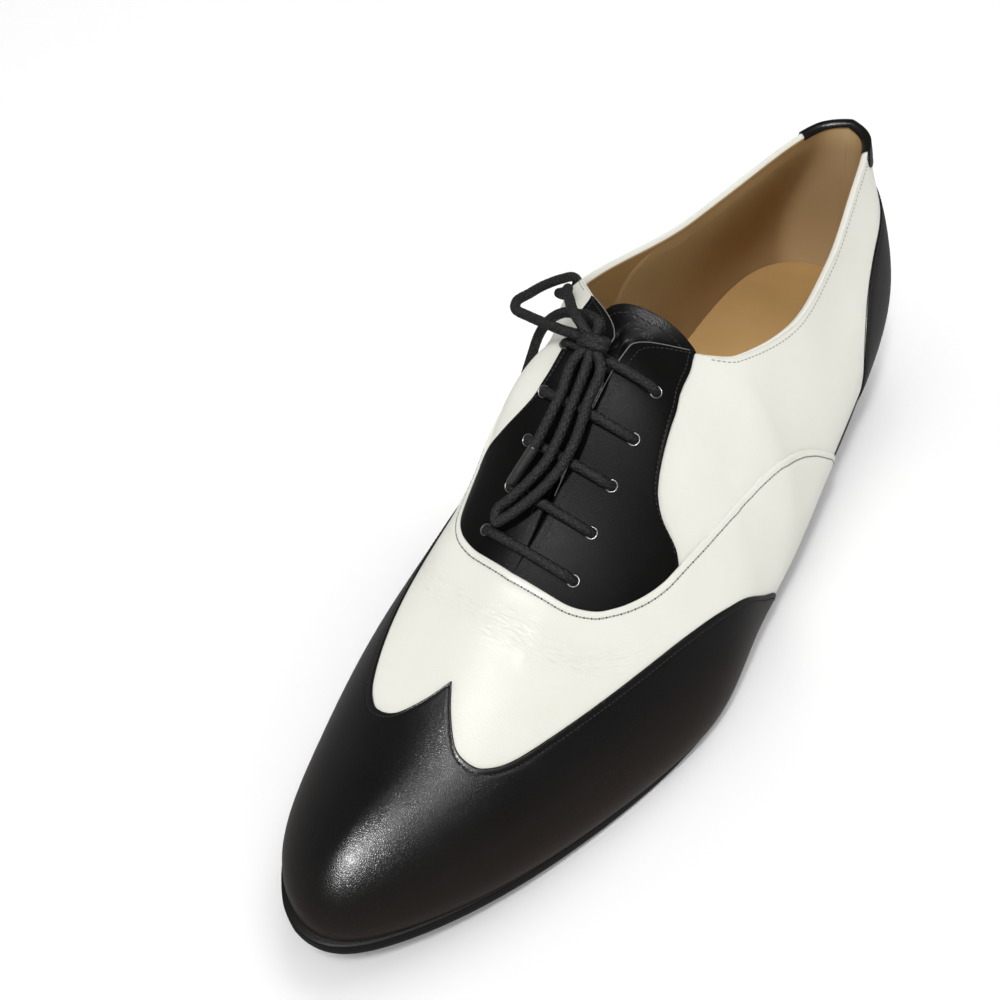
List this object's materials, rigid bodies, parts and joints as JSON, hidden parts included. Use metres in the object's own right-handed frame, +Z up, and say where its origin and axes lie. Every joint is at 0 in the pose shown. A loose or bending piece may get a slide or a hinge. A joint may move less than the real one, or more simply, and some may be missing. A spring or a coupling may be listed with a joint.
{
  "type": "lace-up shoe",
  "caption": "Low two-tone leather lace-up shoe with an almond toe, winged toe cap, closed lacing with a tied bow and a low heel.",
  "frame": {"origin": "middle of the shoe's footprint box on the floor", "axes": "+Z up, toe towards -Y, outer side of the left foot towards +X"},
  "size_m": [0.0892, 0.2788, 0.0947],
  "materials": {
    "sole": "satin black edge",
    "heel_block": "painted black",
    "heel_rubber": "matt black",
    "sock_leather": "smooth tan",
    "white_leather": "smooth glossy white",
    "black_leather": "fine grain, semi gloss",
    "eyelet_metal": "dull grey",
    "lace_cord": "braided, matt black",
    "aglet_plastic": "clear grey film"
  },
  "bodies": {
    "root": {"outsole": "sole", "heel_stack": "heel_block", "heel_top_piece": "heel_rubber", "insole": "sock_leather", "upper": "white_leather", "wing_cap": "black_leather", "heel_counter": "black_leather", "heel_tab": "black_leather", "facing_lateral": "black_leather", "facing_medial": "black_leather", "tongue": "black_leather", "eyelet_lat_1": "eyelet_metal", "eyelet_lat_2": "eyelet_metal", "eyelet_lat_3": "eyelet_metal", "eyelet_lat_4": "eyelet_metal", "eyelet_lat_5": "eyelet_metal", "eyelet_med_1": "eyelet_metal", "eyelet_med_2": "eyelet_metal", "eyelet_med_3": "eyelet_metal", "eyelet_med_4": "eyelet_metal", "eyelet_med_5": "eyelet_metal", "lace_bar_1": "lace_cord", "lace_bar_2": "lace_cord", "lace_bar_3": "lace_cord", "lace_bar_4": "lace_cord", "lace_bar_5": "lace_cord", "lace_knot": "lace_cord", "lace_loop_a": "lace_cord", "lace_loop_b": "lace_cord", "lace_end_a": "lace_cord", "lace_end_b": "lace_cord", "aglet_a": "aglet_plastic", "aglet_b": "aglet_plastic"}
  },
  "joints": []
}
